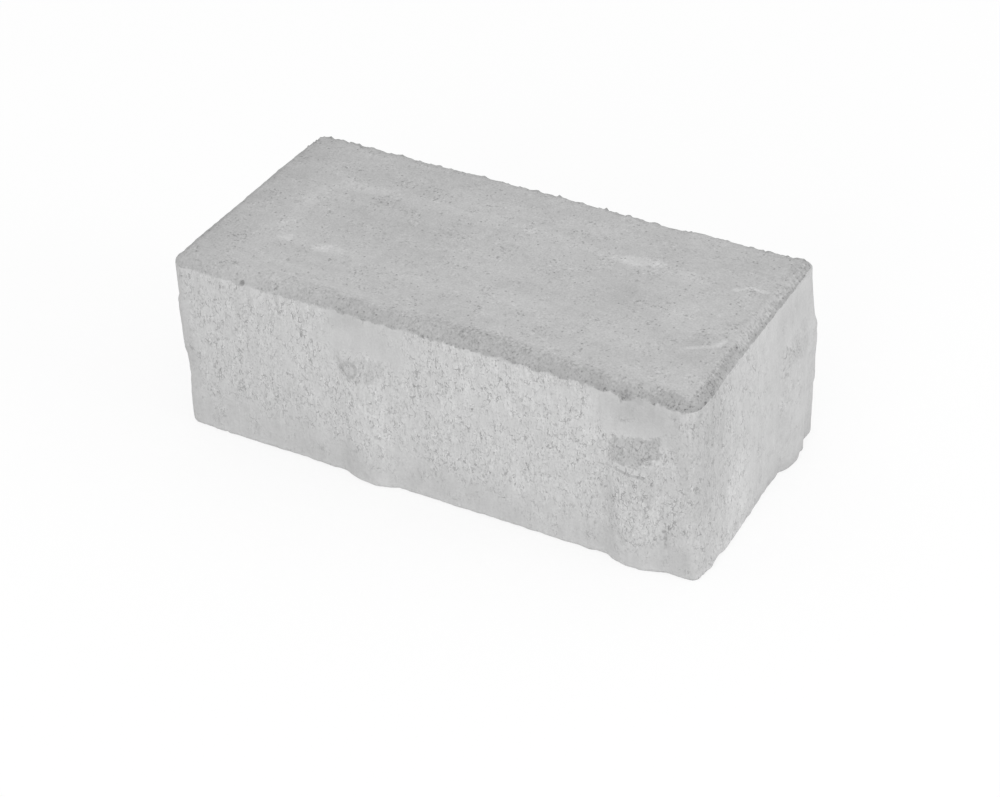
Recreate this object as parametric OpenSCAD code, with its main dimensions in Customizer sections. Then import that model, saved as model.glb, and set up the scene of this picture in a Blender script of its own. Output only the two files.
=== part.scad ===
// Concrete paving stone for the 200 by 100 mm laying grid, 70 mm thick.
// One cast piece: chamfered wearing face, rounded upright corners, plain bed face and half-round
// spacer lugs that run up the four sides and slope back into them below the wearing face.
// Millimetres. The bed face lies on z = 0, the length runs along X, the width along Y.

/* [Stone] */
// Length between the two end faces, without the lugs
stone_length = 197; // [160:1:300]
// Width between the two long faces, without the lugs
stone_width = 97; // [80:1:200]
// Thickness from the bed face to the wearing face
stone_height = 70; // [50:1:120]

/* [Wearing face] */
// How far the chamfer reaches in over the wearing face
chamfer_width = 4; // [1:0.5:8]
// How far the chamfer drops down the sides
chamfer_drop = 3.5; // [1:0.5:8]
// Plan radius of the corners of the wearing face, inside the chamfer
face_corner_radius = 2; // [0.5:0.5:10]

/* [Spacer lugs] */
// Joint that the laying grid leaves between two stones
grid_joint = 3; // [2:0.5:8]
// How far a half-round lug stands out of its side
lug_depth = 2.7; // [1:0.1:5]
// Width of a lug where it meets its side
lug_width = 20; // [10:1:32]
// Drop from the wearing face to the line where a lug starts
lug_start_drop = 18; // [10:1:30]
// Height of the slope over which a lug comes out of the side
lug_slope_height = 10; // [4:0.5:20]
// Distance from the right-hand corner of a side to its first lug, seen from outside
lug_offset = 21; // [18:0.5:40]
// Lugs on each long side, one in each square bay of the grid
long_side_lugs = 2; // [1:1:3]

/* [Hidden] */
// Smoothness of the curves
$fn = 96;
// Top of the plain side walls, where the chamfer begins
wall_top = stone_height - chamfer_drop;
// Plan radius of the upright corners, which holds the chamfer at one width all round
corner_radius = face_corner_radius + chamfer_width;
// Pitch of the lugs on a long side, an equal share of the length of the laying grid
lug_pitch = (stone_length + grid_joint) / long_side_lugs;
// Height at which a lug has run out into the side
lug_top = stone_height - lug_start_drop;
// Plan radius of the round of a lug, from its width and how far it stands out
lug_radius = (pow(lug_width / 2, 2) + pow(lug_depth, 2)) / (2 * lug_depth);
// How far a lug reaches into the stone
lug_root = lug_depth;

// Upright section of the stone across a span, with the chamfer at both top edges
module chamfered_section(span) {
  polygon([
    [-span / 2, 0],
    [span / 2, 0],
    [span / 2, wall_top],
    [span / 2 - chamfer_width, stone_height],
    [-span / 2 + chamfer_width, stone_height],
    [-span / 2, wall_top]
  ]);
}

// The chamfered section of a span drawn out along X
module chamfered_bar(run, span) {
  rotate([90, 0, 90])
    linear_extrude(run, center = true)
      chamfered_section(span);
}

// Rounded upright corner with its cone of chamfer on top
module corner_post() {
  cylinder(r = corner_radius, h = wall_top);
  translate([0, 0, wall_top])
    cylinder(r1 = corner_radius, r2 = face_corner_radius, h = chamfer_drop);
}

// The stone without its lugs
module chamfered_block() {
  chamfered_bar(stone_length - 2 * corner_radius, stone_width);
  rotate([0, 0, 90])
    chamfered_bar(stone_width - 2 * corner_radius, stone_length);
  for (sx = [-1, 1], sy = [-1, 1])
    translate([
      sx * (stone_length / 2 - corner_radius),
      sy * (stone_width / 2 - corner_radius),
      0
    ])
      corner_post();
}

// Side view of one lug: upright crown, then the slope back into the wall
module lug_side_view() {
  polygon([
    [lug_root, 0],
    [-lug_depth, 0],
    [-lug_depth, lug_top - lug_slope_height],
    [0, lug_top],
    [lug_root, lug_top]
  ]);
}

// One half-round spacer lug on a wall in the plane y = 0 that faces -Y, with its root inside the stone
module spacer_lug() {
  intersection() {
    translate([0, lug_radius - lug_depth, 0])
      cylinder(r = lug_radius, h = lug_top, $fn = 180);
    rotate([90, 0, 90])
      linear_extrude(2.5 * lug_radius, center = true)
        lug_side_view();
  }
}

// Lugs of one long side and of the end to its right, seen from outside
module lugs_of_half() {
  for (i = [0 : long_side_lugs - 1])
    translate([stone_length / 2 - lug_offset - i * lug_pitch, -stone_width / 2, 0])
      spacer_lug();
  rotate([0, 0, 90])
    translate([stone_width / 2 - lug_offset, -stone_length / 2, 0])
      spacer_lug();
}

module paving_stone() {
  color([0.75, 0.75, 0.75])
    union() {
      chamfered_block();
      for (turn = [0, 180])
        rotate([0, 0, turn])
          lugs_of_half();
    }
}

paving_stone();
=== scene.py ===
"""Looks of the concrete paving stone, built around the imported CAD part."""
import math

import bpy
import numpy as np
from mathutils import Matrix, Vector


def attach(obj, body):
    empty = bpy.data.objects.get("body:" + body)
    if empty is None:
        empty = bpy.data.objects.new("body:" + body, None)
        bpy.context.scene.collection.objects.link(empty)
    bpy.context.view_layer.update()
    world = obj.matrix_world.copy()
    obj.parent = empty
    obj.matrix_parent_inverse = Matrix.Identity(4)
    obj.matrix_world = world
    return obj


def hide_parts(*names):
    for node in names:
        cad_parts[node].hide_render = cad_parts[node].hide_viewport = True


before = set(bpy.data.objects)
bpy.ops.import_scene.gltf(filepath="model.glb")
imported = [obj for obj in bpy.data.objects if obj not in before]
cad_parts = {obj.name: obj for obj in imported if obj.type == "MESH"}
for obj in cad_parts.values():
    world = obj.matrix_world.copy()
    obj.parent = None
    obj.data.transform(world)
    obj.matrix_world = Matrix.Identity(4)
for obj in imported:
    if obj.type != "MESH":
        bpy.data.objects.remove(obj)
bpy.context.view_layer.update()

# Sizes of the stone in millimetres, as in the part's source
MM = 0.001
STONE_LENGTH = 197.0
STONE_WIDTH = 97.0
STONE_HEIGHT = 70.0
CHAMFER_WIDTH = 4.0
CHAMFER_DROP = 3.5
CORNER_RADIUS = 6.0
WALL_TOP = STONE_HEIGHT - CHAMFER_DROP
LUG_DEPTH = 2.7
LUG_WIDTH = 20.0
LUG_RADIUS = (LUG_WIDTH**2 / 4 + LUG_DEPTH**2) / (2 * LUG_DEPTH)
LUG_START_DROP = 18.0
LUG_TOP = STONE_HEIGHT - LUG_START_DROP
LUG_SLOPE_HEIGHT = 10.0
LUG_OFFSET = 21.0
LUG_PITCH = 100.0

# Density of the mesh: columns on a long side, columns on an end, height of a row on the walls
LONG_COLUMNS = 212
SHORT_COLUMNS = 104
ROW_STEP = 0.88

# The four sides in order round the stone, seen from outside from left to right
FRONT, RIGHT, BACK, LEFT = range(4)
SIDE_ALONG = np.array([(1, 0), (0, 1), (-1, 0), (0, -1)], float)
SIDE_OUT = np.array([(0, -1), (1, 0), (0, 1), (-1, 0)], float)
SIDE_SPAN = (STONE_LENGTH, STONE_WIDTH, STONE_LENGTH, STONE_WIDTH)
SIDE_REACH = (STONE_WIDTH / 2, STONE_LENGTH / 2, STONE_WIDTH / 2, STONE_LENGTH / 2)
SIDE_COLUMNS = (LONG_COLUMNS, SHORT_COLUMNS, LONG_COLUMNS, SHORT_COLUMNS)

# Factors and shifts that mix the bits of a cell's three numbers and a seed into one random number
LOW_BITS = np.uint64(0xFFFFFFFF)
CELL_FACTORS = (np.uint64(374761393), np.uint64(668265263), np.uint64(1440662683))
SEED_FACTOR = np.uint64(974634593)
MIXES = ((np.uint64(13), np.uint64(1274126177)), (np.uint64(16), np.uint64(2246822519)))
LAST_SHIFT = np.uint64(15)


# Noise and soft shapes on points, the same on every run
def lattice(cells, seed):
    """A fixed random number from 0 to 1 for each whole-number cell."""
    c = cells.astype(np.int64).astype(np.uint64) & LOW_BITS
    h = np.uint64(seed) * SEED_FACTOR
    for axis, factor in enumerate(CELL_FACTORS):
        h = h + c[..., axis] * factor
    h = h & LOW_BITS
    for shift, factor in MIXES:
        h = ((h ^ (h >> shift)) * factor) & LOW_BITS
    h = h ^ (h >> LAST_SHIFT)
    return h.astype(float) / float(LOW_BITS)


def value_noise(points, seed):
    """Smooth noise from -1 to 1 with features about one unit wide."""
    cell = np.floor(points)
    f = points - cell
    f = f * f * f * (f * (f * 6 - 15) + 10)
    total = np.zeros(len(points))
    for corner in np.ndindex(2, 2, 2):
        weight = np.ones(len(points))
        for axis in range(3):
            weight = weight * (f[:, axis] if corner[axis] else 1 - f[:, axis])
        total += weight * lattice(cell + corner, seed)
    return 2 * total - 1


def fractal(points, octaves, seed):
    """Several octaves of value_noise, each half the size and half the strength of the last."""
    total = np.zeros(len(points))
    strength = 1.0
    for octave in range(octaves):
        total += strength * value_noise(points * 2.0**octave, seed + octave)
        strength *= 0.5
    return total / (2 - 2 * strength)


def pits(points, spacing, radii, depths, chance, seed):
    """Depth of the deepest of the scattered round pits at each point."""
    q = points / spacing
    cell = np.floor(q)
    deepest = np.zeros(len(points))
    for offset in np.ndindex(3, 3, 3):
        c = cell + offset - 1
        shift = np.stack([lattice(c, seed + k) for k in range(3)], axis=1)
        distance = np.linalg.norm(q - c - shift, axis=1) * spacing
        radius = radii[0] + (radii[1] - radii[0]) * lattice(c, seed + 3)
        depth = depths[0] + (depths[1] - depths[0]) * lattice(c, seed + 4)
        bowl = np.clip(1 - (distance / radius) ** 2, 0, 1)
        there = lattice(c, seed + 5) < chance
        deepest = np.maximum(deepest, there * depth * bowl)
    return deepest


def smoothstep(low, high, value):
    """0 below low, 1 above high, smooth between."""
    t = np.clip((value - low) / (high - low), 0, 1)
    return t * t * (3 - 2 * t)


def falling(low, high, value):
    """1 below low, 0 above high, smooth between."""
    return 1 - smoothstep(low, high, value)


def spot(points, centre, radii):
    """1 at the centre of a soft ellipsoid and 0 from its edge on."""
    q = (points - np.array(centre)) / np.array(radii)
    return falling(0.0, 1.0, np.linalg.norm(q, axis=1))


def sum_of_spots(points, table):
    """Sum of soft ellipsoids, each with its centre, radii and strength."""
    total = np.zeros(len(points))
    for centre, radii, strength in table:
        total += strength * spot(points, centre, radii)
    return total


def inside_distance(x, y, half_x, half_y, radius):
    """Distance in from the outline of a rounded rectangle round the origin."""
    past_x = np.abs(x) - (half_x - radius)
    past_y = np.abs(y) - (half_y - radius)
    round_corner = np.hypot(np.clip(past_x, 0, None), np.clip(past_y, 0, None))
    return radius - round_corner - np.minimum(np.maximum(past_x, past_y), 0)


# (inset, height) of the rings that round the foot, the foot of the chamfer and its crest
FOOT_ROWS = [(1.5, 0.0), (0.75, 0.08), (0.22, 0.4), (0.0, 1.0)]
LIP_ROWS = [(0.13, WALL_TOP - 0.02)]
CREST_ROWS = [(CHAMFER_WIDTH - 0.05, STONE_HEIGHT - 0.14), (CHAMFER_WIDTH + 0.7, STONE_HEIGHT)]
# Distance of the wall's last ring below the chamfer, and of the chamfer's own rings from its two lines
WALL_MARGIN = 0.7
SLOPE_MARGIN = 0.6
SLOPE_ROWS = 5


# The stone's own surface as a grid: rings round the walls, and a cap above and below
def side_stations(side):
    """At the start of each column: place along the side, place out, turn of the normal, distance run."""
    arc = math.pi / 4 * CORNER_RADIUS
    straight = SIDE_SPAN[side] - 2 * CORNER_RADIUS
    run = np.linspace(0, straight + 2 * arc, SIDE_COLUMNS[side] + 1)
    left_turn = np.clip((arc - run) / CORNER_RADIUS, 0, None)
    right_turn = np.clip((run - arc - straight) / CORNER_RADIUS, 0, None)
    turn = left_turn - right_turn
    along = np.clip(run - arc, 0, straight) - straight / 2 - CORNER_RADIUS * np.sin(turn)
    out = CORNER_RADIUS * (np.cos(turn) - 1)
    return along, out, turn, run


def profile_rows():
    """(inset, height) of each ring, from the bed face up the wall and over the chamfer."""
    first = FOOT_ROWS[-1][1]
    last = WALL_TOP - WALL_MARGIN
    steps = round((last - first) / ROW_STEP)
    wall = [(0.0, z) for z in np.linspace(first, last, steps + 1)[1:]]
    rise = CHAMFER_DROP / CHAMFER_WIDTH
    insets = np.linspace(SLOPE_MARGIN, CHAMFER_WIDTH - SLOPE_MARGIN, SLOPE_ROWS)
    slope = [(inset, WALL_TOP + rise * inset) for inset in insets]
    return np.array(FOOT_ROWS + wall + LIP_ROWS + slope + CREST_ROWS)


def lug_centres(side):
    """Places of a side's lugs along it."""
    first = SIDE_SPAN[side] / 2 - LUG_OFFSET
    return [first, first - LUG_PITCH] if side in (FRONT, BACK) else [first]


def lug_stand(side, along, height):
    """How far the lugs of a side stand out at a place along it and a height."""
    limit = np.clip(LUG_DEPTH * (LUG_TOP - height) / LUG_SLOPE_HEIGHT, 0, LUG_DEPTH)
    stand = np.zeros_like(along)
    for centre in lug_centres(side):
        beside = np.clip(np.abs(along - centre), 0, LUG_RADIUS)
        plan = np.sqrt(LUG_RADIUS**2 - beside**2) - (LUG_RADIUS - LUG_DEPTH)
        stand = np.maximum(stand, np.minimum(np.clip(plan, 0, None), limit))
    return stand


def cap_grid(ring):
    """Fills the rectangle-like ring with a smooth patch of points, and returns the whole grid."""
    nx, ny = LONG_COLUMNS, SHORT_COLUMNS
    front = ring[: nx + 1]
    right = ring[nx : nx + ny + 1]
    back = ring[nx + ny : 2 * nx + ny + 1][::-1]
    left = np.concatenate([ring[2 * nx + ny :], ring[:1]])[::-1]
    s = np.linspace(0, 1, nx + 1)[:, None, None]
    t = np.linspace(0, 1, ny + 1)[None, :, None]
    across = (1 - t) * front[:, None] + t * back[:, None]
    along = (1 - s) * left[None] + s * right[None]
    low = (1 - s) * front[0] + s * front[-1]
    high = (1 - s) * back[0] + s * back[-1]
    return across + along - ((1 - t) * low + t * high)


def cap_numbers(ring, start):
    """Numbers of a cap's vertices: the ring's own on its border, and new ones from start on inside."""
    nx, ny = LONG_COLUMNS, SHORT_COLUMNS
    grid = np.zeros((nx + 1, ny + 1), int)
    grid[:, 0] = ring[: nx + 1]
    grid[nx, :] = ring[nx : nx + ny + 1]
    grid[:, ny] = ring[nx + ny : 2 * nx + ny + 1][::-1]
    grid[0, :] = np.append(ring[2 * nx + ny :], ring[0])[::-1]
    inner = (nx - 1) * (ny - 1)
    grid[1:-1, 1:-1] = (start + np.arange(inner)).reshape(nx - 1, ny - 1)
    return grid


def grid_quads(numbers):
    """Quads of a grid of vertex numbers."""
    corners = [numbers[:-1, :-1], numbers[1:, :-1], numbers[1:, 1:], numbers[:-1, 1:]]
    return np.stack(corners, axis=-1).reshape(-1, 4)


def side_columns():
    """Plan place, plan normal, place along its side and side of each column round the stone."""
    plan, normal, along, side_of = [], [], [], []
    for side in range(4):
        u, v, turn, _ = side_stations(side)
        place = np.outer(u, SIDE_ALONG[side]) + np.outer(v + SIDE_REACH[side], SIDE_OUT[side])
        facing = np.outer(-np.sin(turn), SIDE_ALONG[side]) + np.outer(np.cos(turn), SIDE_OUT[side])
        plan.append(place[:-1])
        normal.append(facing[:-1])
        along.append(u[:-1])
        side_of.append(np.full(len(u) - 1, side))
    return [np.concatenate(parts) for parts in (plan, normal, along, side_of)]


# The order of a quad's corners that turns it over
TURNED_OVER = [0, 3, 2, 1]


def build_surface():
    """Vertices in millimetres, quads, UVs of the quads' corners and each vertex's side."""
    rows = profile_rows()
    plan, normal, along, side_of = side_columns()
    count = len(plan)
    vertices = np.zeros((len(rows), count, 3))
    for j, (inset, height) in enumerate(rows):
        stand = np.zeros(count)
        for side in range(4):
            own = side_of == side
            stand[own] = lug_stand(side, along[own], np.full(own.sum(), height))
        vertices[j, :, :2] = plan + normal * (stand - inset)[:, None]
        vertices[j, :, 2] = height
    numbers = np.arange(len(rows) * count).reshape(len(rows), count)

    top_inner = cap_grid(vertices[-1])[1:-1, 1:-1].reshape(-1, 3)
    bed_inner = cap_grid(vertices[0])[1:-1, 1:-1].reshape(-1, 3)
    points = np.concatenate([vertices.reshape(-1, 3), top_inner, bed_inner])
    caps = np.full(len(top_inner) + len(bed_inner), -1)
    sides = np.concatenate([np.tile(side_of, len(rows)), caps])

    closed = np.hstack([numbers, numbers[:, :1]])
    wall = grid_quads(closed)[:, TURNED_OVER]
    upper = grid_quads(cap_numbers(numbers[-1], numbers.size))
    lower = grid_quads(cap_numbers(numbers[0], numbers.size + len(top_inner)))[:, TURNED_OVER]
    quads = np.concatenate([wall, upper, lower])
    maps = np.concatenate([
        wall_map(rows),
        cap_map(points, upper, TOP_CHART),
        cap_map(points, lower, BED_CHART),
    ])
    return points, quads, maps, sides


# Charts of the UV map in millimetres: left, bottom, scale, quarter turn
MAP_SIZE = 300.0
TOP_CHART = (2.0, 2.0, 1.0, False)
BED_CHART = (204.0, 152.0, 0.7, True)
WALL_CHARTS = ((2.0, 178.0), (204.0, 2.0), (2.0, 103.0), (204.0, 77.0))


def wall_map(rows):
    """UVs of the wall quads: each side is unrolled into its own chart."""
    heights = np.concatenate([[0.0], np.cumsum(np.linalg.norm(np.diff(rows, axis=0), axis=1))])
    made = np.zeros((len(rows) - 1, sum(SIDE_COLUMNS), 4, 2))
    start = 0
    for side in range(4):
        run = side_stations(side)[3]
        columns = slice(start, start + SIDE_COLUMNS[side])
        start += SIDE_COLUMNS[side]
        left, low = WALL_CHARTS[side]
        for corner, (step_u, step_v) in enumerate(((0, 0), (1, 0), (1, 1), (0, 1))):
            u = run[step_u : step_u + SIDE_COLUMNS[side]]
            v = heights[step_v : step_v + len(rows) - 1]
            made[:, columns, corner, 0] = left + u[None, :]
            made[:, columns, corner, 1] = low + v[:, None]
    return made.reshape(-1, 4, 2) / MAP_SIZE


def cap_map(points, quads, chart):
    """UVs of a cap's quads, laid flat from above."""
    left, low, scale, turned = chart
    flat = points[quads][:, :, :2] + np.array([STONE_LENGTH / 2, STONE_WIDTH / 2])
    if turned:
        flat = flat[:, :, ::-1]
    return (flat * scale + np.array([left, low])) / MAP_SIZE


def vertex_normals(points, quads):
    """Mean of the facing of the quads round each vertex."""
    a, b, c, d = (points[quads[:, k]] for k in range(4))
    facing = np.cross(c - a, d - b)
    total = np.zeros_like(points)
    for k in range(4):
        np.add.at(total, quads[:, k], facing)
    return total / np.maximum(np.linalg.norm(total, axis=1, keepdims=True), 1e-12)


points, quads, maps, sides = build_surface()
normals = vertex_normals(points, quads)
x, y, z = points.T

# Which zone of the stone each vertex belongs to; a face is level where its normal is this upright
LEVEL = (0.75, 0.97)
edge_distance = inside_distance(x, y, STONE_LENGTH / 2, STONE_WIDTH / 2, CORNER_RADIUS)
front_side = sides == FRONT
right_side = sides == RIGHT
on_top = smoothstep(*LEVEL, normals[:, 2])
on_bed = smoothstep(*LEVEL, -normals[:, 2])
on_chamfer = smoothstep(WALL_TOP - 0.5, WALL_TOP + 0.3, z) * (1 - on_top)
on_wall = np.clip(1 - on_top - on_bed - on_chamfer, 0, 1)

# The patch that the mould left smooth above each lug: how it ends to the sides and below
PATCH_SIDE = (8.5, 19.5)
PATCH_FOOT = (LUG_TOP - 6.0, LUG_TOP + 2.0)
PATCH_RAGGED = 7.0
PATCH_RAGGED_SIZE = 8.0
PATCH_FOOT_RAGGED = 0.6
# The stain on the slope at the head of each lug, and the right front lug's own stain
STAIN_TOP = LUG_TOP - 1.2
STAIN_FOOT = LUG_TOP - LUG_SLOPE_HEIGHT + 0.1
STAIN_DROOP = 0.03
STAIN = {"shift": 1.0, "half_width": 8.6, "tilt": 0.12, "growth": 0.0}
RIGHT_STAIN = {"shift": 0.8, "half_width": 7.8, "tilt": 0.30, "growth": 0.8}
FAR_OUTSIDE = -9.0
smooth_patch = np.zeros(len(points))
slope_inside = np.full(len(points), FAR_OUTSIDE)
for side in range(4):
    own = sides == side
    local = points[:, :2] @ SIDE_ALONG[side]
    ragged = PATCH_RAGGED * fractal(points / PATCH_RAGGED_SIZE, 3, 40 + side)
    for centre in lug_centres(side):
        width = falling(*PATCH_SIDE, np.abs(local - centre) + ragged)
        height = smoothstep(*PATCH_FOOT, z + PATCH_FOOT_RAGGED * ragged)
        smooth_patch = np.maximum(smooth_patch, own * width * height)
        stain = RIGHT_STAIN if side == FRONT and centre > 0 else STAIN
        aside = np.abs(local - centre - math.copysign(stain["shift"], centre))
        level = z - stain["tilt"] * (local - centre)
        foot = STAIN_FOOT + STAIN_DROOP * aside**2
        inside = np.minimum(STAIN_TOP - level, level - foot)
        inside = np.minimum(inside, stain["half_width"] - aside) + stain["growth"]
        slope_inside = np.maximum(slope_inside, np.where(own, inside, FAR_OUTSIDE))

# Relief in millimetres, out of the surface: size and height of each kind of form, and the pores
WAVE_SIZE = 38.0
WAVE_HEIGHT = 0.30
DRAG_SIZE = 3.2
DRAG_HEIGHT = 0.12
DRAG_STRETCH = np.array([1.0, 1.0, 0.42])
GRAIN_SIZE = 1.9
COARSE_SIZE = 4.5
WALL_GRAIN = 0.08
BED_GRAIN = 0.10
TOP_GRAIN = 0.06
TOP_COARSE = 0.05
CHAMFER_GRAIN = 0.22
CHAMFER_COARSE = 0.16
CHAMFER_PORE_SHARE = 0.8
RIGHT_CHAMFER_SHARE = 0.3
PATCH_CALM = 0.85
PORE_STRETCH = np.array([1.0, 1.0, 0.6])
WALL_PORES = {"spacing": 2.9, "radii": (0.7, 1.2), "depths": (0.1, 0.5), "chance": 0.5, "seed": 20}
TOP_PORES = {"spacing": 5.0, "radii": (0.7, 1.2), "depths": (0.15, 0.5), "chance": 0.5, "seed": 30}
BED_PORES = {"spacing": 6.0, "radii": (1.2, 3.0), "depths": (0.3, 1.2), "chance": 0.6, "seed": 60}
waves = WAVE_HEIGHT * fractal(points / WAVE_SIZE, 2, 1)
drag = DRAG_HEIGHT * fractal(points * DRAG_STRETCH / DRAG_SIZE, 2, 5)
grain = value_noise(points / GRAIN_SIZE, 9)
coarse = fractal(points / COARSE_SIZE, 2, 12)
wall_pores = pits(points * PORE_STRETCH, **WALL_PORES)
top_pores = pits(points, **TOP_PORES)
bed_pores = pits(points, **BED_PORES)
open_wall = 1 - PATCH_CALM * smooth_patch
rough_chamfer = on_chamfer * np.where(right_side, RIGHT_CHAMFER_SHARE, 1.0)
relief = (
    waves * (0.5 + 0.5 * on_wall)
    + on_wall * open_wall * (drag + WALL_GRAIN * grain - wall_pores)
    + on_top * (TOP_GRAIN * grain + TOP_COARSE * coarse - top_pores)
    + rough_chamfer * (CHAMFER_GRAIN * grain + CHAMFER_COARSE * coarse - CHAMFER_PORE_SHARE * top_pores)
    + on_bed * (BED_GRAIN * grain - bed_pores)
)

# Two corners that are not upright in the photograph: heights, and how far the corner stands out there
BACK_RIGHT_HEIGHTS = (0.0, 15.0, 21.0, 23.0, 33.0, 38.0, 45.3, 47.7, 52.0, 57.0, 62.0, 66.5, 70.0)
BACK_RIGHT_OUT = (0.1, 0.3, 0.3, 0.7, 0.7, 1.0, 1.0, 0.2, -0.1, -0.2, -0.4, -0.4, 0.1)
FRONT_LEFT_HEIGHTS = (0.0, 21.0, 29.0, 31.5, 51.0, 53.0, 70.0)
FRONT_LEFT_OUT = (-0.2, -0.2, -0.1, 0.5, 0.55, -0.1, -0.1)
CORNER_REACH = (4.0, 17.0)
for end, heights, out in (
    (1, BACK_RIGHT_HEIGHTS, BACK_RIGHT_OUT),
    (-1, FRONT_LEFT_HEIGHTS, FRONT_LEFT_OUT),
):
    apart = np.hypot(x - end * STONE_LENGTH / 2, y - end * STONE_WIDTH / 2)
    relief += (on_wall + on_chamfer) * falling(*CORNER_REACH, apart) * np.interp(z, heights, out)

# The feet of the two front corners are sharper than the corners above them
FOOT_CORNER_OUT = 1.0
FOOT_CORNER_REACH = (1.5, 5.0)
FOOT_CORNER_HEIGHT = (4.0, 22.0)
for end in (-1, 1):
    apart = np.hypot(x - end * STONE_LENGTH / 2, y + STONE_WIDTH / 2)
    reach = falling(*FOOT_CORNER_REACH, apart) * falling(*FOOT_CORNER_HEIGHT, z)
    relief += FOOT_CORNER_OUT * (1 - on_bed) * reach

# Damage in the places where the photograph shows it: centre, radii and depth, with a minus for a lump
CHIPS = [
    ((-68.8, -48.5, 66.9), (1.6, 1.6, 1.6), 1.5),
    ((73.5, -48.5, 66.2), (5.5, 3.0, 2.2), 0.9),
    ((79.0, -48.5, 65.6), (4.0, 3.0, 2.4), 0.8),
    ((101.0, 30.0, 0.0), (3.0, 3.5, 3.5), 0.9),
    ((98.5, -33.0, 0.0), (4.0, 6.0, 3.0), 0.6),
    ((88.0, -48.5, 15.5), (1.2, 3.0, 2.6), 0.9),
    ((88.3, -48.5, 11.0), (1.1, 3.0, 1.5), 0.7),
    ((-28.0, -51.0, 11.5), (2.2, 3.0, 1.2), 0.7),
    ((-18.0, -51.0, 16.0), (1.8, 3.0, 1.0), 0.6),
    ((94.5, 45.0, 70.0), (4.5, 4.5, 3.0), -0.9),
    ((38.0, 46.0, 70.0), (28.0, 8.0, 6.0), 0.6),
]
chip_depth = sum_of_spots(points, CHIPS)
relief -= chip_depth

# Frayed edges: the foot of the walls, and the crest of the chamfer, most of all along the back
FOOT_FRAY = 0.22
CREST_FRAY = 0.20
CREST_WANDER = 0.16
CREST_TEETH = 0.45
CREST_FRONT_SHARE = 0.35
CREST_LUMPS = {"spacing": 2.2, "radii": (0.8, 1.25), "depths": (0.25, 1.1), "chance": 0.8, "seed": 78}
foot_edge = falling(0.5, 3.0, z) * smoothstep(0.0, 0.4, 3.0 - edge_distance)
relief += foot_edge * FOOT_FRAY * fractal(points / 3.5, 2, 70)
crest_edge = smoothstep(STONE_HEIGHT - 1.2, STONE_HEIGHT - 0.1, z) * falling(4.2, 6.5, edge_distance)
crest_edge = crest_edge * (CREST_FRONT_SHARE + (1 - CREST_FRONT_SHARE) * smoothstep(25, 42, y))
crest_lumps = crest_edge * pits(points, **CREST_LUMPS)
fray = CREST_FRAY * value_noise(points / 2.0, 75) + CREST_WANDER * value_noise(points / 5.5, 77)
teeth = CREST_TEETH * np.clip(value_noise(points / 1.15, 79), 0, None)
relief += crest_edge * (fray + teeth) + crest_lumps

# The walls are not quite upright in the photograph: how far the end and the front stand out at each height
LEAN_HEIGHTS = (0.0, 20.0, 45.0, 70.0)
END_LEAN = (2.3, 1.4, 0.8, 0.7)
FRONT_LEAN = (-0.9, -0.6, 0.0, 0.0)
# How far the end comes in at its top, and how far the back comes in and down at its top
END_TOP_IN = 1.0
BACK_LEAN = 0.8
BACK_SINK = 0.95
# How the leans change along the length and the width of the stone
by_end = smoothstep(80, 97, x)
end_share = by_end * (1 - 0.95 * smoothstep(-33, 18, y)) * (0.7 + 0.3 * smoothstep(-47, -38, y))
end_top_share = by_end * smoothstep(-40, -16, y) * (1 - 0.4 * smoothstep(20, 46, y))
front_share = smoothstep(30, 48, -y) * (1 - 0.2 * smoothstep(84, 98, x))
front_share = front_share * (1.6 - 1.1 * smoothstep(-80, 10, x) + 0.5 * smoothstep(40, 80, x))
back_share = smoothstep(20, 48, y)
end_lean = end_share * np.interp(z, LEAN_HEIGHTS, END_LEAN)
end_lean -= END_TOP_IN * end_top_share * smoothstep(45, 66, z)
front_lean = front_share * np.interp(z, LEAN_HEIGHTS, FRONT_LEAN)
back_lean = back_share * BACK_LEAN * smoothstep(30, 70, z)
back_sink = back_share * BACK_SINK * smoothstep(55, 70, z)

# The foot of the right end's chamfer climbs toward the back corner
EDGE_RISE = 1.8
EDGE_RISE_FOOT = 57.0
edge_rise = EDGE_RISE * smoothstep(84, 96, x) * smoothstep(0, 46, y)
edge_rise = edge_rise * np.interp(z, (EDGE_RISE_FOOT, WALL_TOP, STONE_HEIGHT), (0.0, 1.0, 0.0))

points = points + normals * relief[:, None]
points = points + np.stack([end_lean, -front_lean - back_lean, edge_rise - back_sink], axis=1)
points[:, 2] = np.maximum(points[:, 2], 0.0)
x, y, z = points.T

# The darker rim round the wearing face: sharp at the foot of the chamfer and fading in over the face
RIM_DARK = 0.25
RIM_LINE_DARK = (0.9, 0.4)
RIM_ZONE = 12.0
RIM_ZONE_SOFTNESS = 6.0
RIM_WIDTH = 4.6
RIM_WIDTH_CHANGE = 2.2
RIM_FADE = (0.30, 1.45)
RIM_END_WIDTH = 4.0
RIM_THIN_SHARE = 0.55
RIM_CREST_PALE = 0.4
RIM_END_SHARPNESS = 2.5
# Places where the rim is wider: centre, radii, width
RIM_FRONT_WIDE = [((22.0, -46.0, 70.0), (45.0, 16.0, 30.0), 5.0)]
RIM_CORNER_WIDE = [((95.0, -45.0, 70.0), (40.0, 40.0, 60.0), 5.2)]
RIM_MORE_WIDE = [
    ((-45.0, -46.0, 70.0), (35.0, 16.0, 30.0), 3.0),
    ((95.0, 46.0, 70.0), (16.0, 16.0, 30.0), 2.5),
]
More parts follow.
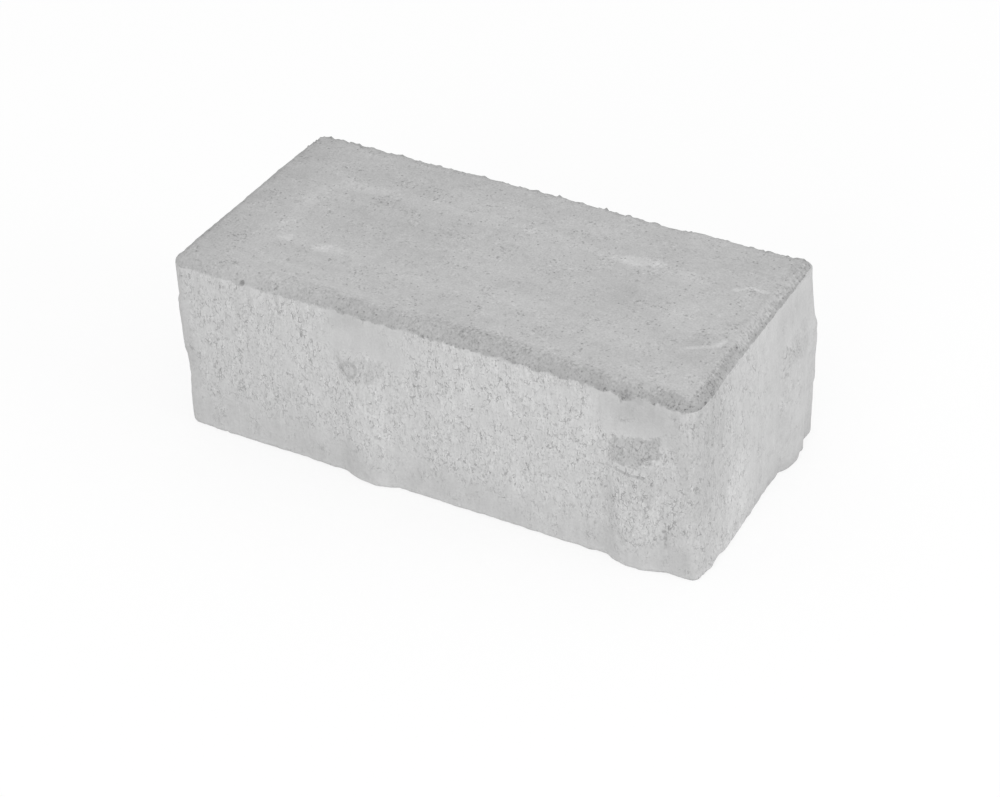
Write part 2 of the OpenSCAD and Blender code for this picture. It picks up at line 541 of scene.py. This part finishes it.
# Places where the rim ends lower on the wall, or higher with a minus: centre, radii, drop
RIM_DROPS = [
    ((74.6, -48.5, 65.0), (4.5, 4.0, 2.6), 1.6),
    ((80.5, -48.5, 66.5), (4.0, 4.0, 3.0), -0.8),
    ((96.5, -46.5, 66.0), (10.0, 10.0, 8.0), 0.2),
    ((27.0, -48.5, 66.0), (14.0, 6.0, 6.0), -0.5),
    ((-34.0, -48.5, 66.0), (16.0, 6.0, 6.0), -0.5),
]
near_front = smoothstep(0.0, RIM_ZONE_SOFTNESS, -y - (STONE_WIDTH / 2 - RIM_ZONE)) * (y < 0)
near_right = smoothstep(0.0, RIM_ZONE_SOFTNESS, x - (STONE_LENGTH / 2 - RIM_ZONE)) * (x > 0)
by_right = near_right > near_front
front_run = 0.5 + 0.22 * smoothstep(-75, -45, x) + 0.28 * smoothstep(-25, 15, x)
right_run = 1.1 + 0.1 * smoothstep(36, 44, y)
hidden_run = 0.4 + 0.3 * fractal(points / 40.0, 1, 85)
rim_run = np.where(by_right, right_run, np.where(near_front > 0, front_run, hidden_run))
rim_width = RIM_WIDTH + RIM_WIDTH_CHANGE * fractal(points / 9.0, 2, 88)
rim_width += sum_of_spots(points, RIM_FRONT_WIDE)
rim_width = np.maximum(rim_width, sum_of_spots(points, RIM_CORNER_WIDE))
rim_width = np.where(by_right, np.minimum(rim_width, RIM_END_WIDTH), rim_width)
rim_width += sum_of_spots(points, RIM_MORE_WIDE)
thin_rim = by_right * smoothstep(-16, -6, y) * falling(38, 45, y)
thin_share = np.maximum(RIM_THIN_SHARE, falling(0.3, 2.2, edge_distance))
on_crest = smoothstep(3.2, 4.2, edge_distance) * falling(5.0, 6.8, edge_distance)
rim_fade = falling(RIM_FADE[0] * rim_width, RIM_FADE[1] * rim_width, edge_distance)
rim_fade = rim_fade * (1 - thin_rim * (1 - thin_share)) * (1 - RIM_CREST_PALE * on_crest)
rim_line = falling(0.2, 1.6, edge_distance)
rim_inside = (z - edge_rise - (WALL_TOP - 0.2)) * np.where(right_side, RIM_END_SHARPNESS, 1.0)
rim_inside += sum_of_spots(points, RIM_DROPS)

# The rim is darker at the front right corner, and from there its dark band runs in from the right edge
DARK_CORNER = [((96.0, -46.0, 68.0), (13.0, 13.0, 13.0), 0.45)]
BAND_DARK = 0.25
BAND_EDGE_PALE = 0.6
band_start = 0.3 + 1.3 * smoothstep(-42, -14, y)
band_run = by_right * smoothstep(-44, -34, y) * falling(-14, -8, y)
band_edge = falling(band_start - 0.6, band_start + 0.4, edge_distance)
dark_corner = 1 + sum_of_spots(points, DARK_CORNER) + band_run * (BAND_DARK - BAND_EDGE_PALE * band_edge)
rim_dark = RIM_DARK * rim_run * (RIM_LINE_DARK[0] + RIM_LINE_DARK[1] * rim_line) * dark_corner

# The darker slopes of the lugs: the right front lug is darker than the others
SLOPE_DARK = 0.25
SLOPE_SHARE = 0.55
SLOPE_END_SHARE = 0.6
SLOPE_SOFTNESS = 0.5
strong_slope = (x > 40) & front_side
slope_dark = SLOPE_DARK * np.where(strong_slope, 1.0, SLOPE_SHARE)
slope_dark = slope_dark * np.where(right_side, SLOPE_END_SHARE, 1.0)

# Rim and slopes together: how far a point lies inside a stain, how dark the stain is and how it fades
on_rim = rim_inside > slope_inside
stain_inside = np.where(on_rim, rim_inside, SLOPE_SOFTNESS * slope_inside)
stain_fade = np.where(on_rim, rim_fade, 1.0)
stain_dark = np.where(on_rim, rim_dark, slope_dark)

# Pale scuffs on the wearing face: centre, half length, half width, turn in degrees, strength
SCUFFS = [
    ((45.0, 17.8), 17.0, 3.4, 10.0, 0.9),
    ((51.0, 19.0), 7.0, 2.0, 14.0, 1.3),
    ((-52.0, -21.5), 9.0, 4.0, 5.0, 0.8),
    ((-68.0, -21.0), 5.0, 3.5, 30.0, 0.8),
    ((-15.0, -3.5), 26.0, 2.2, 22.0, 0.5),
]
SCUFF_FRAY = 0.3
SCUFF_FRAY_SIZE = 2.5
scuffed = np.zeros(len(points))
scuff_fray = SCUFF_FRAY * fractal(points / SCUFF_FRAY_SIZE, 2, 95)
for centre, half_long, half_wide, degrees, strength in SCUFFS:
    turn = math.radians(degrees)
    dx = x - centre[0]
    dy = y - centre[1]
    run = (dx * math.cos(turn) + dy * math.sin(turn)) / half_long
    off = (dy * math.cos(turn) - dx * math.sin(turn)) / half_wide
    reach = falling(0.0, 1.2, np.hypot(run, off) + scuff_fray)
    scuffed = np.maximum(scuffed, strength * reach * on_top)

# Pale scratches near the right end of the wearing face: strength and line of points
SCRATCHES = [
    (1.2, ((81.5, 16.7), (85.8, 19.6), (92.0, 19.6))),
    (0.8, ((82.7, -20.5), (87.3, -17.6))),
    (1.15, ((87.3, -17.6), (90.9, -15.0), (91.5, -11.7))),
]
SCRATCH_HALF_WIDTH = (0.2, 1.7)
for strength, line in SCRATCHES:
    for start, end in zip(line, line[1:]):
        step = np.subtract(end, start)
        away = points[:, :2] - np.array(start)
        share = np.clip(away @ step / (step @ step), 0, 1)
        beside = np.linalg.norm(away - share[:, None] * step, axis=1)
        scuffed = np.maximum(scuffed, strength * on_top * falling(*SCRATCH_HALF_WIDTH, beside))

# A pale loop on the wearing face, as a press plate leaves it
LOOP_MIDDLE = (-1.0, -1.5)
LOOP_HALF = (72.0, 20.0)
LOOP_CORNER = 8.0
LOOP_BAND = 5.5
LOOP_WANDER = 2.5
LOOP_WANDER_SIZE = 16.0
LOOP_RUN_SIZE = 22.0
LOOP_PALE = 0.052
loop_distance = inside_distance(x - LOOP_MIDDLE[0], y - LOOP_MIDDLE[1], *LOOP_HALF, LOOP_CORNER)
loop_distance = loop_distance + LOOP_WANDER * fractal(points / LOOP_WANDER_SIZE, 2, 101)
loop_run = np.clip(0.8 + 0.7 * fractal(points / LOOP_RUN_SIZE, 2, 104), 0.45, 1.3)
loop = on_top * loop_run * falling(0.2, 1.0, np.abs(loop_distance) / LOOP_BAND)

# Broad paler and darker places on the wearing face and on the walls, of which a few on the walls are painted
# light and shade on the flanks of the front lugs: centre, radii, change of tone
TOP_PLACES = [
    ((-40.0, 0.0, 70.0), (42.0, 24.0, 9.0), -0.065),
    ((52.0, 1.0, 70.0), (18.0, 18.0, 9.0), -0.05),
    ((-98.0, 5.0, 70.0), (25.0, 95.0, 9.0), -0.13),
    ((69.0, -16.0, 70.0), (6.0, 4.0, 9.0), -0.06),
    ((86.0, -25.0, 70.0), (6.0, 5.0, 9.0), -0.06),
    ((90.0, 40.0, 70.0), (16.0, 16.0, 9.0), -0.035),
    ((-50.0, 38.0, 70.0), (60.0, 18.0, 9.0), -0.04),
    ((84.0, -14.5, 70.0), (6.0, 6.0, 9.0), -0.06),
    ((-79.0, 12.0, 70.0), (15.0, 12.0, 9.0), -0.03),
    ((-13.0, 6.0, 70.0), (14.0, 8.0, 9.0), -0.05),
    ((-32.0, 17.0, 70.0), (11.0, 5.0, 9.0), -0.04),
]
WALL_PLACES_AND_FLANK_SHADING = [
    ((79.0, -48.5, 63.0), (16.0, 6.0, 13.0), -0.15),
    ((93.0, -48.5, 48.0), (9.0, 6.0, 34.0), -0.05),
    ((-97.0, -48.5, 35.0), (10.0, 6.0, 45.0), -0.03),
    # The next three are painted shade on the left flank of the left front lug, painted light on its right
    # flank, and painted shade along the root of the right front lug's left flank
    ((-30.0, -49.0, 7.0), (11.0, 6.0, 15.0), -0.10),
    ((-15.5, -51.0, 22.0), (5.0, 6.0, 36.0), 0.07),
    ((69.0, -49.0, 18.0), (5.5, 6.0, 28.0), -0.10),
    ((89.0, -48.5, 14.0), (5.0, 6.0, 20.0), -0.04),
    ((79.0, -51.0, 31.0), (9.0, 6.0, 13.0), -0.08),
    ((-27.0, -48.5, 64.0), (10.0, 6.0, 7.0), -0.08),
    ((98.5, -38.0, 48.0), (7.0, 19.0, 46.0), -0.115),
    ((98.5, -17.0, 13.0), (6.0, 15.0, 26.0), 0.15),
    ((101.0, 28.0, 45.0), (6.0, 12.0, 6.0), -0.05),
    ((100.0, 18.0, 22.0), (6.0, 7.0, 6.0), -0.07),
    ((100.0, 26.0, 15.0), (6.0, 7.0, 6.0), -0.07),
    ((98.5, 27.0, 60.0), (6.0, 15.0, 10.0), -0.05),
    ((99.0, 22.0, 28.0), (6.0, 15.0, 20.0), -0.04),
    ((99.0, -29.0, 5.0), (6.0, 9.0, 8.0), 0.08),
    ((84.5, -49.5, 35.0), (6.0, 6.0, 9.0), -0.09),
    ((84.0, -49.5, 41.0), (5.0, 6.0, 4.5), -0.09),
    ((-48.0, -48.5, 39.0), (7.0, 6.0, 14.0), 0.05),
    ((11.0, -48.5, 40.0), (7.0, 6.0, 14.0), 0.05),
    ((99.0, 21.0, 15.0), (6.0, 8.0, 10.0), -0.04),
]
PLACE_MOTTLE = 0.6
PLACE_MOTTLE_SIZE = 5.0
broad = on_wall * sum_of_spots(points, WALL_PLACES_AND_FLANK_SHADING) + (1 - on_wall) * sum_of_spots(points, TOP_PLACES)
broad = broad * (1 + PLACE_MOTTLE * fractal(points / PLACE_MOTTLE_SIZE, 2, 110))

# Tone of the concrete on each face, and how much darker some parts of it are. Some of these changes are
# painted light and shade: painted light along the foot of the walls, and painted shade in the pores and
# chips, along the foot of the right end, on the crest's lumps and frayed crest, and at the upright corners.
WALL_TONE = 0.56
TOP_TONE = 0.508
BED_TONE = 0.54
BLOTCH_SIZE = 26.0
BLOTCH_CHANGE = 0.03
LOW_HEIGHT = (5.0, 20.0)
LOW_RAGGED = 7.0
LOW_DARK = 0.05
# Painted light along the foot of the walls, which offsets the shade that falls there
FOOT_PAINTED_LIGHT = 0.06
PATCH_DARK = 0.065
END_PATCH_DARK = 0.03
CHIP_SHARE = 0.8
HOLLOW_SHADE = 0.09
END_FOOT_SHADE = 0.09
LUMP_SHADE = 0.2
CREST_SHADE = 0.05
LEFT_DARK = 0.03
# Painted shade at the rounded upright corners of the walls
CORNER_SHADE = 0.06
END_DARK = 0.023
blotches = fractal(points / BLOTCH_SIZE, 3, 80)
low_zone = on_wall * falling(*LOW_HEIGHT, z + LOW_RAGGED * blotches)
low_zone = low_zone * np.where(right_side, smoothstep(-10, 20, y), 1.0)
# Painted shade in the wall's pores and in the chips, darker where they are deeper
hollow_shade = np.maximum(on_wall * wall_pores * open_wall, CHIP_SHARE * chip_depth)
# Painted shade along the foot of the right end, where the wall curves under
end_foot_shade = right_side * smoothstep(-22, -4, y) * falling(33, 42, y) * falling(2.2, 5.4, z + blotches)
corner_apart = np.hypot(np.abs(x) - STONE_LENGTH / 2, np.abs(y) - STONE_WIDTH / 2)
tone = WALL_TONE * on_wall + TOP_TONE * (on_top + on_chamfer) + BED_TONE * on_bed
tone = tone * (1 + broad + LOOP_PALE * loop) * (1 + BLOTCH_CHANGE * blotches)
# painted light along the foot of the walls, which offsets the shade that falls there
tone = tone * (1 + FOOT_PAINTED_LIGHT * on_wall * falling(0.5, 5.0, z))
for dark, where in (
    (LOW_DARK, low_zone),
    (np.where(right_side, END_PATCH_DARK, PATCH_DARK), smooth_patch),
    # painted shade in the pores and chips
    (HOLLOW_SHADE, smoothstep(0.1, 0.6, hollow_shade)),
    # painted shade along the foot of the right end
    (END_FOOT_SHADE, on_wall * end_foot_shade),
    # painted shade on the lumps along the crest of the chamfer, and on the frayed crest itself
    (LUMP_SHADE, smoothstep(0.15, 0.7, crest_lumps)),
    (CREST_SHADE, crest_edge),
    (LEFT_DARK, on_wall * front_side * falling(-60, -20, x)),
    # painted shade at the rounded upright corners of the walls
    (CORNER_SHADE, on_wall * falling(2.0, 13.0, corner_apart)),
    (END_DARK, right_side),
):
    tone = tone * (1 - dark * where)

# How much of the torn skin and of the sand shows
LOW_CALM = 0.6
END_CALM = 0.65
EDGE_CALM = 0.6
BED_SAND = 0.6
FLECK_MOST = 1.5
# Places with more torn skin: centre, radii, strength
FLECK_PLACES = [
    ((78.0, -51.0, 20.0), (15.0, 6.0, 25.0), 0.5),
    ((99.0, 23.0, 42.0), (6.0, 8.0, 30.0), 0.7),
]
calm_end = 1 - END_CALM * right_side * smoothstep(-25, 15, y)
calm_edge = 1 - EDGE_CALM * front_side * falling(2, 12, x + STONE_LENGTH / 2)
fleck = on_wall * open_wall * (1 - LOW_CALM * low_zone) * calm_end * calm_edge
fleck = np.clip(fleck + on_wall * sum_of_spots(points, FLECK_PLACES), 0, FLECK_MOST)
sand = np.clip(on_top + on_chamfer + BED_SAND * on_bed, 0, 1)


def make_stone():
    """The stone as one mesh object, in metres, with its tone and patterns on the vertices."""
    mesh = bpy.data.meshes.new("stone_surface")
    mesh.from_pydata((points * MM).tolist(), [], quads.tolist())
    layer = mesh.uv_layers.new(name="OFBake")
    layer.uv.foreach_set("vector", maps.astype(np.float32).ravel())
    patterns = {
        "tone": tone,
        "fleck": fleck,
        "sand": sand,
        "scuff": scuffed,
        "stain_inside": stain_inside,
        "stain_dark": stain_dark,
        "stain_fade": stain_fade,
    }
    for name, values in patterns.items():
        attribute = mesh.attributes.new(name, "FLOAT", "POINT")
        attribute.data.foreach_set("value", values.astype(np.float32))
    mesh.polygons.foreach_set("use_smooth", np.ones(len(quads), bool))
    mesh.update()
    stone = bpy.data.objects.new("stone", mesh)
    bpy.context.scene.collection.objects.link(stone)
    return stone


# Shader nodes
class Graph:
    """Short calls that lay down shader nodes and join them."""

    def __init__(self, owner):
        owner.use_nodes = True
        self.tree = owner.node_tree
        self.tree.nodes.clear()

    def node(self, kind, settings=None, inputs=None):
        """A new node with its settings, and its inputs set or joined."""
        made = self.tree.nodes.new(kind)
        for key, value in (settings or {}).items():
            setattr(made, key, value)
        for key, value in (inputs or {}).items():
            self.feed(made.inputs[key], value)
        return made

    def feed(self, socket, value):
        """Joins an output to the socket, or sets a constant on it."""
        if isinstance(value, bpy.types.NodeSocket):
            self.tree.links.new(value, socket)
        else:
            socket.default_value = value

    def math(self, operation, a, b=0.0):
        return self.node("ShaderNodeMath", {"operation": operation}, {0: a, 1: b}).outputs[0]

    def vector(self, operation, *values):
        return self.node("ShaderNodeVectorMath", {"operation": operation}, dict(enumerate(values))).outputs

    def rising(self, value, low, high):
        """0 below low, 1 above high, smooth between."""
        settings = {"interpolation_type": "SMOOTHSTEP"}
        inputs = {"Value": value, "From Min": low, "From Max": high}
        return self.node("ShaderNodeMapRange", settings, inputs).outputs["Result"]

    def falling(self, value, low, high):
        """1 below low, 0 above high, smooth between."""
        return self.math("SUBTRACT", 1.0, self.rising(value, low, high))

    def noise(self, vector, scale, detail, distortion=0.0):
        """Noise from 0 to 1."""
        inputs = {"Vector": vector, "Scale": scale, "Detail": detail, "Distortion": distortion}
        return self.node("ShaderNodeTexNoise", None, inputs).outputs["Fac"]

    def swing(self, vector, scale, detail):
        """Noise to either side of zero."""
        return self.math("SUBTRACT", self.noise(vector, scale, detail), 0.5)

    def stretched(self, vector, factors):
        return self.vector("MULTIPLY", vector, factors)["Vector"]

    def apart(self, first, second):
        """Distance between two places."""
        return self.vector("DISTANCE", first, second)["Value"]

    def scaled(self, factor, value, base=1.0):
        """The base plus a factor times the value."""
        settings = {"operation": "MULTIPLY_ADD"}
        return self.node("ShaderNodeMath", settings, {0: value, 1: factor, 2: base}).outputs[0]

    def times(self, first, *others):
        total = first
        for other in others:
            total = self.math("MULTIPLY", total, other)
        return total

    def most(self, first, *others):
        total = first
        for other in others:
            total = self.math("MAXIMUM", total, other)
        return total

    def attribute(self, name):
        return self.node("ShaderNodeAttribute", {"attribute_name": name}).outputs["Fac"]

    def sight_rays(self):
        """1 for rays that come straight, mirrored or through glass from the camera, and 0 for the rest."""
        path = self.node("ShaderNodeLightPath").outputs
        return self.most(path["Is Camera Ray"], path["Is Glossy Ray"], path["Is Transmission Ray"])


# How the walls' patterns are drawn out upright
WALL_STRETCH = (1.0, 1.0, 0.58)
STREAK_STRETCH = (0.45, 0.45, 0.03)
DASH_STRETCH = (1.35, 1.35, 0.34)
# How the smears of the wearing face are drawn out along the length
SMEAR_STRETCH = (0.035, 0.16, 0.05)
# How far the edges of the torn skin are bent, in millimetres
BEND = (3.2, 3.2, 3.2)


def wall_patterns(g, place):
    """A pale skin torn open along thin broken lines, with dark specks and pale crumbs in clusters; the dark
    lines and specks are partly painted shade in the tears and small pits, and the pale lip beside each line
    is a painted highlight.
    """
    drawn = g.stretched(place, WALL_STRETCH)
    bending = g.node("ShaderNodeTexNoise", None, {"Vector": drawn, "Scale": 0.8, "Detail": 3.0})
    bent = g.vector("MULTIPLY_ADD", bending.outputs["Color"], BEND, drawn)["Vector"]
    skin = g.node("ShaderNodeTexVoronoi", {"feature": "DISTANCE_TO_EDGE"}, {"Vector": bent, "Scale": 0.42})
    gap = skin.outputs["Distance"]
    broken = g.rising(g.noise(bent, 0.75, 1.0), 0.47, 0.60)
    # The dark tears are partly painted shade; the pale lip beside them is a painted highlight
    tear = g.times(g.falling(gap, 0.0, 0.075), broken)
    lip_highlight = g.times(g.rising(gap, 0.07, 0.12), g.falling(gap, 0.14, 0.26), broken)
    fine = g.noise(drawn, 1.9, 2.0, 0.4)
    speck = g.falling(fine, 0.33, 0.42)
    crumb = g.rising(fine, 0.57, 0.68)
    fleck_share = g.attribute("fleck")
    cluster = g.rising(g.scaled(0.32, fleck_share, g.noise(place, 0.20, 3.0)), 0.50, 1.0)
    dark = g.times(g.most(g.times(speck, 0.6), tear), cluster)
    pale = g.times(g.most(g.times(crumb, 0.8), lip_highlight), cluster)
    shades = g.swing(drawn, 0.30, 3.0)
    streaks = g.swing(g.stretched(place, STREAK_STRETCH), 1.0, 2.0)
    dashes = g.swing(g.stretched(place, DASH_STRETCH), 1.0, 2.0)
    dashes = g.times(dashes, g.scaled(0.7, fleck_share, 0.25), g.scaled(0.8, cluster, 0.45))
    return dark, pale, shades, streaks, dashes


def face_patterns(g, place):
    """Fine sand, calmer on the walls, and on the wearing face clusters of grains, pinholes darkened with
    painted shade, and smears.
    """
    sand_share = g.attribute("sand")
    grains = g.times(g.swing(place, 1.3, 3.0), g.scaled(0.45, sand_share, 0.55))
    grit = g.noise(place, 1.05, 3.0)
    gathered = g.times(g.rising(g.noise(place, 0.13, 3.0), 0.40, 0.66), sand_share)
    grit_dark = g.times(g.falling(grit, 0.32, 0.45), gathered)
    grit_pale = g.times(g.rising(grit, 0.58, 0.68), gathered)
    cells = g.node("ShaderNodeTexVoronoi", None, {"Vector": place, "Scale": 0.55})
    # Pinholes: painted shade in the small holes
    pin = g.falling(cells.outputs["Distance"], 0.10, 0.30)
    pin = g.times(pin, g.rising(g.noise(place, 0.45, 2.0), 0.56, 0.62), sand_share)
    lines = g.swing(g.stretched(place, SMEAR_STRETCH), 1.0, 3.0)
    mottle = g.swing(place, 0.07, 4.0)
    smears = g.times(g.scaled(0.9, lines, g.times(mottle, 0.7)), sand_share)
    return grains, grit_dark, grit_pale, pin, smears


def stain_pattern(g, place, ragged):
    """Stains with ragged edges: the rim of the wearing face and the slopes of the lugs."""
    bays = g.swing(place, 0.30, 2.0)
    inside = g.scaled(2.0, ragged, g.scaled(3.0, bays, g.attribute("stain_inside")))
    covered = g.rising(inside, -0.3, 0.4)
    faded = g.rising(g.scaled(2.2, ragged, g.attribute("stain_fade")), 0.2, 0.8)
    black = g.falling(g.noise(place, 1.15, 3.0), 0.30, 0.50)
    uneven = g.times(g.scaled(0.9, black, 0.75), g.scaled(0.8, bays))
    return g.times(covered, faded, g.attribute("stain_dark"), uneven)


# A ring on the left front lug's slope: centre, radius, half width of its line, darkness
RING_CENTRE = (-27.2, -50.2, 45.6)
RING_RADIUS = 2.5
RING_LINE = (0.25, 0.8)
RING_DARK = 0.9
# A painted shadow line in the crease below the right front lug's slope: centre, half length, fall along it,
# half width, depth, darkness
CREASE_CENTRE = (77.0, -51.0, 38.3)
CREASE_HALF = (5.0, 6.5)
CREASE_FALL = 0.06
CREASE_LINE = (0.2, 0.9)
CREASE_DEPTH = (3.0, 4.0)
CREASE_SHADE = 1.4
# Centre, radius and darkness of the painted shade in each pit and chip in the front
PIT_SHADES = (
    ((-68.8, -48.0, 66.8), 1.3, 2.6),
    ((74.5, -47.3, 67.5), 0.9, 1.6),
    ((75.1, -47.6, 66.4), 0.9, 1.6),
    ((73.2, -48.0, 64.3), 0.9, 1.3),
    ((88.0, -47.8, 17.2), 0.9, 1.5),
    ((88.5, -47.8, 14.4), 0.9, 1.5),
    ((88.6, -47.8, 12.0), 0.8, 1.2),
)
PIT_HEART = 0.4
# How far the ragged noise bends the lines of the ring and the crease, and the edges of the pits
LINE_RAGGED = 1.6
PIT_RAGGED = 0.8


def ring_and_painted_shade(g, place, ragged):
    """The ring, the painted shadow line of the crease and the painted shade in the small pits."""
    ring = g.scaled(LINE_RAGGED, ragged, g.apart(place, RING_CENTRE))
    ring = g.math("ABSOLUTE", g.math("SUBTRACT", ring, RING_RADIUS))
    ring = g.falling(ring, *RING_LINE)
    offset = g.vector("SUBTRACT", place, CREASE_CENTRE)["Vector"]
    split = g.node("ShaderNodeSeparateXYZ", None, {0: offset}).outputs
    level = g.scaled(CREASE_FALL, split["X"], g.scaled(LINE_RAGGED, ragged, split["Z"]))
    crease = g.falling(g.math("ABSOLUTE", level), *CREASE_LINE)
    along = g.falling(g.math("ABSOLUTE", split["X"]), *CREASE_HALF)
    near = g.falling(g.math("ABSOLUTE", split["Y"]), *CREASE_DEPTH)
    marks = [g.times(ring, RING_DARK), g.times(crease, along, near, CREASE_SHADE)]
    for centre, radius, darkness in PIT_SHADES:
        distance = g.scaled(PIT_RAGGED, ragged, g.apart(place, centre))
        pit = g.falling(distance, PIT_HEART * radius, radius)
        marks.append(g.times(pit, darkness))
    return g.most(*marks)


def scuff_pattern(g, ragged):
    """Pale scuffs and scratches, paler still in their middle."""
    rubbed = g.scaled(1.3, ragged, g.attribute("scuff"))
    middle = g.times(g.rising(rubbed, 0.85, 1.25), 0.10)
    return g.scaled(0.12, g.rising(rubbed, 0.25, 0.65), middle)


def make_concrete():
    """Grey concrete: torn skin on the walls, sand and pinholes on the wearing face, stains and marks, with
    painted shade in the tears, pits, pinholes and crease and painted highlight on the lips of the tears.
    """
    material = bpy.data.materials.new("grey_concrete")
    g = Graph(material)
    place = g.node("ShaderNodeTexCoord").outputs["Object"]
    place = g.stretched(place, (1 / MM, 1 / MM, 1 / MM))
    ragged = g.swing(place, 0.9, 3.0)
    wall_dark, wall_pale, shades, streaks, dashes = wall_patterns(g, place)
    grains, grit_dark, grit_pale, pin, smears = face_patterns(g, place)

    # How far each pattern makes the grey paler, or darker with a minus
    value = g.attribute("tone")
    for change, pattern in (
        # dark torn lines and specks, partly painted shade in the tears and pits
        (-0.39, wall_dark),
        # pale crumbs, and painted highlight on the lips of the tears
        (0.13, wall_pale),
        (0.36, dashes),
        (0.10, streaks),
        (0.18, shades),
        # painted shade in the pinholes
        (-0.34, pin),
        (0.42, grains),
        (-0.32, grit_dark),
        (0.15, grit_pale),
        # the ring, and painted shade in the crease and the pits
        (-0.17, ring_and_painted_shade(g, place, ragged)),
        (0.20, smears),
        (-1.0, stain_pattern(g, place, ragged)),
        (1.0, scuff_pattern(g, ragged)),
    ):
        value = g.times(value, g.scaled(change, pattern))
    colour = g.node("ShaderNodeCombineColor", None, {0: value, 1: value, 2: value}).outputs["Color"]

    # How far each pattern stands out in the bump, or lies deeper with a minus, in millimetres
    height = 0.0
    for rise, pattern in ((0.05, wall_pale), (-0.20, wall_dark), (-0.18, pin), (0.26, grains)):
        height = g.scaled(rise, pattern, height)
    bump = g.node("ShaderNodeBump", None, {"Strength": 0.7, "Distance": MM, "Height": height})
    finish = {
        "Base Color": colour,
        "Roughness": g.scaled(0.2, grains, 0.88),
        "Normal": bump.outputs["Normal"],
        "Specular IOR Level": 0.25,
    }
    shader = g.node("ShaderNodeBsdfPrincipled", None, finish)
    g.node("ShaderNodeOutputMaterial", None, {"Surface": shader.outputs["BSDF"]})
    return material


stone = make_stone()
stone.data.materials.append(make_concrete())
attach(stone, "root")
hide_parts("paving_stone")

# Floor and light: lengths in metres, and azimuth, elevation and power of each soft lamp
FLOOR_HALF = 12.0
FLOOR_TONE = 0.85
CAMERA_LIGHT = 0.80
WORLD_LEVEL = 0.86
WHITE = (1.0, 1.0, 1.0, 1.0)
LAMP_SIZE = 0.8
LAMP_DISTANCE = 1.4
LAMPS = {"front_lamp": (8.0, 20.0, 4.4), "right_lamp": (95.0, 20.0, 4.0)}


def make_floor():
    """A wide pale floor that keeps the stone's shadow and shows nearly white to the camera."""
    corners = [(-1, -1), (1, -1), (1, 1), (-1, 1)]
    mesh = bpy.data.meshes.new("floor")
    mesh.from_pydata([(a * FLOOR_HALF, b * FLOOR_HALF, 0.0) for a, b in corners], [], [(0, 1, 2, 3)])
    floor = bpy.data.objects.new("floor", mesh)
    bpy.context.scene.collection.objects.link(floor)
    material = bpy.data.materials.new("pale_floor")
    g = Graph(material)
    pale = g.node("ShaderNodeBsdfDiffuse", None, {"Color": (FLOOR_TONE, FLOOR_TONE, FLOOR_TONE, 1)})
    bright = g.node("ShaderNodeBsdfDiffuse", None, {"Color": WHITE})
    glow = g.node("ShaderNodeEmission", None, {"Color": WHITE, "Strength": 1.0})
    layers = {0: CAMERA_LIGHT, 1: bright.outputs[0], 2: glow.outputs[0]}
    shown = g.node("ShaderNodeMixShader", None, layers)
    mixed = g.node("ShaderNodeMixShader", None, {0: g.sight_rays(), 1: pale.outputs[0], 2: shown.outputs[0]})
    g.node("ShaderNodeOutputMaterial", None, {"Surface": mixed.outputs[0]})
    mesh.materials.append(material)


def direction(azimuth, elevation):
    """Unit vector from the stone toward a place round it: azimuth 0 is in front, 90 is to the right."""
    a = math.radians(azimuth)
    e = math.radians(elevation)
    return Vector((math.sin(a) * math.cos(e), -math.cos(a) * math.cos(e), math.sin(e)))


def make_light():
    """Even white surroundings, and a large soft lamp on each of the two sides that the photograph shows."""
    world = bpy.data.worlds.new("studio")
    bpy.context.scene.world = world
    g = Graph(world)
    light = g.node("ShaderNodeBackground", None, {"Color": WHITE, "Strength": WORLD_LEVEL})
    shown = g.node("ShaderNodeBackground", None, {"Color": WHITE, "Strength": 1.0})
    mixed = g.node("ShaderNodeMixShader", None, {0: g.sight_rays(), 1: light.outputs[0], 2: shown.outputs[0]})
    g.node("ShaderNodeOutputWorld", None, {"Surface": mixed.outputs[0]})
    for name, (azimuth, elevation, power) in LAMPS.items():
        lamp = bpy.data.lights.new(name, "AREA")
        lamp.shape = "DISK"
        lamp.size = LAMP_SIZE
        lamp.energy = power
        holder = bpy.data.objects.new(name, lamp)
        toward = direction(azimuth, elevation)
        holder.location = toward * LAMP_DISTANCE
        holder.rotation_mode = "QUATERNION"
        holder.rotation_quaternion = toward.to_track_quat("Z", "Y")
        holder.visible_camera = False
        bpy.context.scene.collection.objects.link(holder)


# Camera fitted to the photograph's outline: angles in degrees, lengths in millimetres
VIEW_AZIMUTH = 30.67
VIEW_ELEVATION = 35.33
VIEW_ROLL = -2.34
VIEW_DISTANCE = 920.1
VIEW_TARGET = (17.79, -28.80, STONE_HEIGHT / 2)
SENSOR_WIDTH = 36.0
# Focal length and width of the photograph in pixels, and the nearest and farthest that is drawn in metres
FOCAL_PIXELS = 2775.5
PHOTO_WIDTH = 1000.0
NEAREST = 0.01
FARTHEST = 100.0


def make_camera():
    """The photograph's viewpoint."""
    data = bpy.data.cameras.new("camera")
    data.sensor_width = SENSOR_WIDTH
    data.lens = FOCAL_PIXELS / PHOTO_WIDTH * SENSOR_WIDTH
    data.clip_start = NEAREST
    data.clip_end = FARTHEST
    camera = bpy.data.objects.new("camera", data)
    toward = direction(VIEW_AZIMUTH, VIEW_ELEVATION)
    level = Vector((math.cos(math.radians(VIEW_AZIMUTH)), math.sin(math.radians(VIEW_AZIMUTH)), 0.0))
    above = toward.cross(level)
    roll = math.radians(VIEW_ROLL)
    right = level * math.cos(roll) + above * math.sin(roll)
    up = above * math.cos(roll) - level * math.sin(roll)
    place = Vector(VIEW_TARGET) * MM + toward * VIEW_DISTANCE * MM
    axes = Matrix((right, up, toward)).transposed().to_4x4()
    camera.matrix_world = Matrix.Translation(place) @ axes
    bpy.context.scene.collection.objects.link(camera)
    bpy.context.scene.camera = camera


make_floor()
make_light()
make_camera()
bpy.context.scene.view_settings.view_transform = "Standard"
